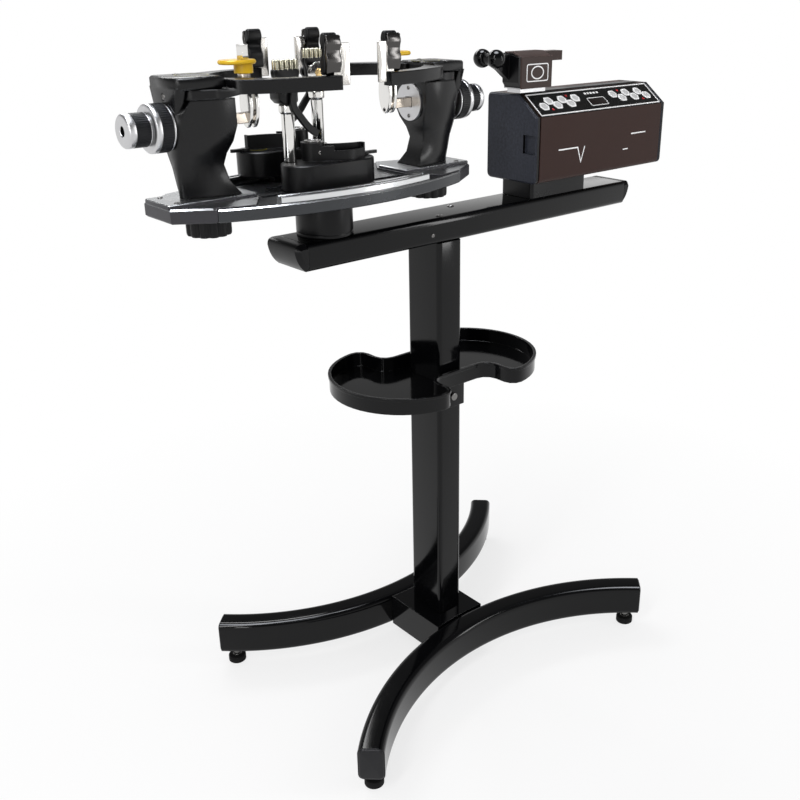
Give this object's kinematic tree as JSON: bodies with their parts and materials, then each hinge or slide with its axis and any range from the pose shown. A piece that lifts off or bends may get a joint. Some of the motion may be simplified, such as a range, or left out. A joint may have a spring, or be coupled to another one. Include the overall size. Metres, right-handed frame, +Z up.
{
  "type": "racket stringing machine",
  "caption": "Floor standing electric racket stringing machine: spinning turntable with two claw posts and string clamps, sliding tension head, tool tray and arched feet.",
  "frame": {"origin": "on the floor under the column's axis, which is the centre of the footprint", "axes": "+X along the beam from the turntable to the tension box, -Y to the operator, +Z up"},
  "size_m": [0.9105, 0.4212, 0.9873],
  "materials": {
    "gloss_black": "gloss",
    "satin_black": "satin",
    "black_plastic": "satin",
    "black_rubber": "matte",
    "chrome": "polished",
    "aluminium": "brushed",
    "anodised_grey": "satin",
    "yellow_nylon": "satin",
    "grey_housing": "fine texture",
    "brown_housing": "satin"
  },
  "bodies": {
    "stand": {"leg_bridge": "gloss_black", "front_leg_arc": "gloss_black", "back_leg_arc": "gloss_black", "foot_front_left": "black_rubber", "foot_front_right": "black_rubber", "foot_back_left": "black_rubber", "foot_back_right": "black_rubber", "column": "satin_black", "beam": "satin_black", "beam_cap_left": "black_plastic", "beam_cap_right": "black_plastic", "tool_tray": "gloss_black", "turntable_bearing": "satin_black", "tension_pedestal": "satin_black", "tension_housing": "brown_housing", "tension_cap_left": "grey_housing", "tension_cap_right": "grey_housing"},
    "turntable": {"turntable_plate": "anodised_grey", "rail_front": "aluminium", "rail_back": "aluminium", "nose_left": "black_plastic", "nose_right": "black_plastic"},
    "post_left_body": {"post_left": "satin_black"},
    "lock_knob_left_body": {"lock_knob_left": "black_plastic"},
    "claw_knob_left_body": {"claw_knob_left": "aluminium"},
    "support_knob_left_body": {"support_knob_left": "aluminium"},
    "support_left_body": {"support_left": "chrome", "support_pad_left": "yellow_nylon"},
    "arm_left_front_body": {"arm_left_front": "satin_black", "claw_pad_left_front": "black_plastic", "claw_back_left_front": "chrome"},
    "arm_left_back_body": {"arm_left_back": "satin_black", "claw_pad_left_back": "black_plastic", "claw_back_left_back": "chrome"},
    "post_right_body": {"post_right": "satin_black"},
    "lock_knob_right_body": {"lock_knob_right": "black_plastic"},
    "claw_knob_right_body": {"claw_knob_right": "aluminium"},
    "support_knob_right_body": {"support_knob_right": "aluminium"},
    "support_right_body": {"support_right": "chrome", "support_pad_right": "yellow_nylon"},
    "arm_right_front_body": {"arm_right_front": "satin_black", "claw_pad_right_front": "black_plastic", "claw_back_right_front": "chrome"},
    "arm_right_back_body": {"arm_right_back": "satin_black", "claw_pad_right_back": "black_plastic", "claw_back_right_back": "chrome"},
    "clamp_front_base_body": {"clamp_base_front": "satin_black"},
    "clamp_front_latch_body": {"clamp_latch_front": "satin_black"},
    "clamp_front_swivel_body": {"clamp_post_front": "chrome", "clamp_head_front": "black_plastic"},
    "clamp_front_lever_body": {"clamp_lever_front": "black_plastic"},
    "clamp_front_jaw_body": {"clamp_jaw_front": "black_plastic"},
    "clamp_back_base_body": {"clamp_base_back": "satin_black"},
    "clamp_back_latch_body": {"clamp_latch_back": "satin_black"},
    "clamp_back_swivel_body": {"clamp_post_back": "chrome", "clamp_head_back": "black_plastic"},
    "clamp_back_lever_body": {"clamp_lever_back": "black_plastic"},
    "clamp_back_jaw_body": {"clamp_jaw_back": "black_plastic"},
    "tension_head_body": {"tension_head": "brown_housing"},
    "gripper_spool_body": {"gripper_spool": "black_plastic"}
  },
  "joints": [
    {"name": "turntable_spin", "type": "hinge", "parent": "stand", "child": "turntable", "pos_m": [-0.19, 0, 0.789], "axis": [0, 0, 1], "continuous": true},
    {"name": "post_slide_left", "type": "slide", "parent": "turntable", "child": "post_left_body", "axis": [1, 0, 0], "range_m": [-0.015, 0.01]},
    {"name": "lock_knob_left_turn", "type": "hinge", "parent": "post_left_body", "child": "lock_knob_left_body", "pos_m": [-0.356, 0, 0.776], "axis": [0, 0, 1], "range_deg": [0, 180]},
    {"name": "claw_knob_left_turn", "type": "hinge", "parent": "post_left_body", "child": "claw_knob_left_body", "pos_m": [-0.409, 0, 0.8905], "axis": [1, 0, 0], "range_deg": [-360, 360]},
    {"name": "support_knob_left_turn", "type": "hinge", "parent": "post_left_body", "child": "support_knob_left_body", "pos_m": [-0.435, 0, 0.8905], "axis": [1, 0, 0], "range_deg": [-362, 362]},
    {"name": "support_slide_left", "type": "slide", "parent": "post_left_body", "child": "support_left_body", "axis": [1, 0, 0], "range_m": [-0.008, 0.008]},
    {"name": "arm_left_front_swing", "type": "hinge", "parent": "post_left_body", "child": "arm_left_front_body", "pos_m": [-0.37, -0.0185, 0.92], "axis": [0, 0, 1], "range_deg": [-4, 4]},
    {"name": "arm_left_back_swing", "type": "hinge", "parent": "post_left_body", "child": "arm_left_back_body", "pos_m": [-0.37, 0.0185, 0.92], "axis": [0, 0, -1], "range_deg": [-4, 4]},
    {"name": "post_slide_right", "type": "slide", "parent": "turntable", "child": "post_right_body", "axis": [-1, 0, 0], "range_m": [-0.007, 0.022]},
    {"name": "lock_knob_right_turn", "type": "hinge", "parent": "post_right_body", "child": "lock_knob_right_body", "pos_m": [-0.012, 0, 0.776], "axis": [0, 0, 1], "range_deg": [0, 180]},
    {"name": "claw_knob_right_turn", "type": "hinge", "parent": "post_right_body", "child": "claw_knob_right_body", "pos_m": [0.041, 0, 0.8905], "axis": [1, 0, 0], "range_deg": [-360, 360]},
    {"name": "support_knob_right_turn", "type": "hinge", "parent": "post_right_body", "child": "support_knob_right_body", "pos_m": [0.067, 0, 0.8905], "axis": [1, 0, 0], "range_deg": [-362, 362]},
    {"name": "support_slide_right", "type": "slide", "parent": "post_right_body", "child": "support_right_body", "axis": [-1, 0, 0], "range_m": [-0.008, 0.008]},
    {"name": "arm_right_front_swing", "type": "hinge", "parent": "post_right_body", "child": "arm_right_front_body", "pos_m": [0.002, -0.0185, 0.92], "axis": [0, 0, -1], "range_deg": [-4, 4]},
    {"name": "arm_right_back_swing", "type": "hinge", "parent": "post_right_body", "child": "arm_right_back_body", "pos_m": [0.002, 0.0185, 0.92], "axis": [0, 0, 1], "range_deg": [-4, 4]},
    {"name": "clamp_front_slide", "type": "slide", "parent": "turntable", "child": "clamp_front_base_body", "axis": [1, 0, 0], "range_m": [-0.005, 0.03]},
    {"name": "clamp_front_latch_turn", "type": "hinge", "parent": "clamp_front_base_body", "child": "clamp_front_latch_body", "pos_m": [-0.13795, -0.02, 0.838], "axis": [0, 0, 1], "range_deg": [0, 90]},
    {"name": "clamp_front_swivel", "type": "hinge", "parent": "clamp_front_base_body", "child": "clamp_front_swivel_body", "pos_m": [-0.24, -0.005, 0.87], "axis": [0, 0, 1], "range_deg": [-20, 20]},
    {"name": "clamp_front_lever_turn", "type": "hinge", "parent": "clamp_front_swivel_body", "child": "clamp_front_lever_body", "pos_m": [-0.234, -0.0188, 0.927], "axis": [0, -1, 0], "range_deg": [0, 35]},
    {"name": "clamp_front_jaw_slide", "type": "slide", "parent": "clamp_front_swivel_body", "child": "clamp_front_jaw_body", "axis": [0, 1, 0], "range_m": [0, 0.003]},
    {"name": "clamp_back_slide", "type": "slide", "parent": "turntable", "child": "clamp_back_base_body", "axis": [1, 0, 0], "range_m": [-0.03, 0.005]},
    {"name": "clamp_back_latch_turn", "type": "hinge", "parent": "clamp_back_base_body", "child": "clamp_back_latch_body", "pos_m": [-0.26405, 0.059, 0.846], "axis": [0, 0, 1], "range_deg": [0, 90]},
    {"name": "clamp_back_swivel", "type": "hinge", "parent": "clamp_back_base_body", "child": "clamp_back_swivel_body", "pos_m": [-0.162, 0.044, 0.878], "axis": [0, 0, 1], "range_deg": [-20, 20]},
    {"name": "clamp_back_lever_turn", "type": "hinge", "parent": "clamp_back_swivel_body", "child": "clamp_back_lever_body", "pos_m": [-0.168, 0.0578, 0.935], "axis": [0, 1, 0], "range_deg": [0, 35]},
    {"name": "clamp_back_jaw_slide", "type": "slide", "parent": "clamp_back_swivel_body", "child": "clamp_back_jaw_body", "axis": [0, -1, 0], "range_m": [0, 0.003]},
    {"name": "tension_head_slide", "type": "slide", "parent": "stand", "child": "tension_head_body", "axis": [1, 0, 0], "range_m": [0, 0.2]},
    {"name": "gripper_spool_turn", "type": "hinge", "parent": "tension_head_body", "child": "gripper_spool_body", "pos_m": [0.106, 0, 0.941], "axis": [0, 1, 0], "continuous": true}
  ],
  "couplings": [
    {"joint": "support_knob_left_turn", "follows": "support_slide_left", "rad_per_m": 785},
    {"joint": "arm_left_front_swing", "follows": "claw_knob_left_turn", "ratio": 0.011111},
    {"joint": "arm_left_back_swing", "follows": "claw_knob_left_turn", "ratio": 0.011111},
    {"joint": "support_knob_right_turn", "follows": "support_slide_right", "rad_per_m": 785},
    {"joint": "arm_right_front_swing", "follows": "claw_knob_right_turn", "ratio": 0.011111},
    {"joint": "arm_right_back_swing", "follows": "claw_knob_right_turn", "ratio": 0.011111},
    {"joint": "clamp_front_jaw_slide", "follows": "clamp_front_lever_turn", "m_per_rad": 0.004911},
    {"joint": "clamp_back_jaw_slide", "follows": "clamp_back_lever_turn", "m_per_rad": 0.004911}
  ]
}
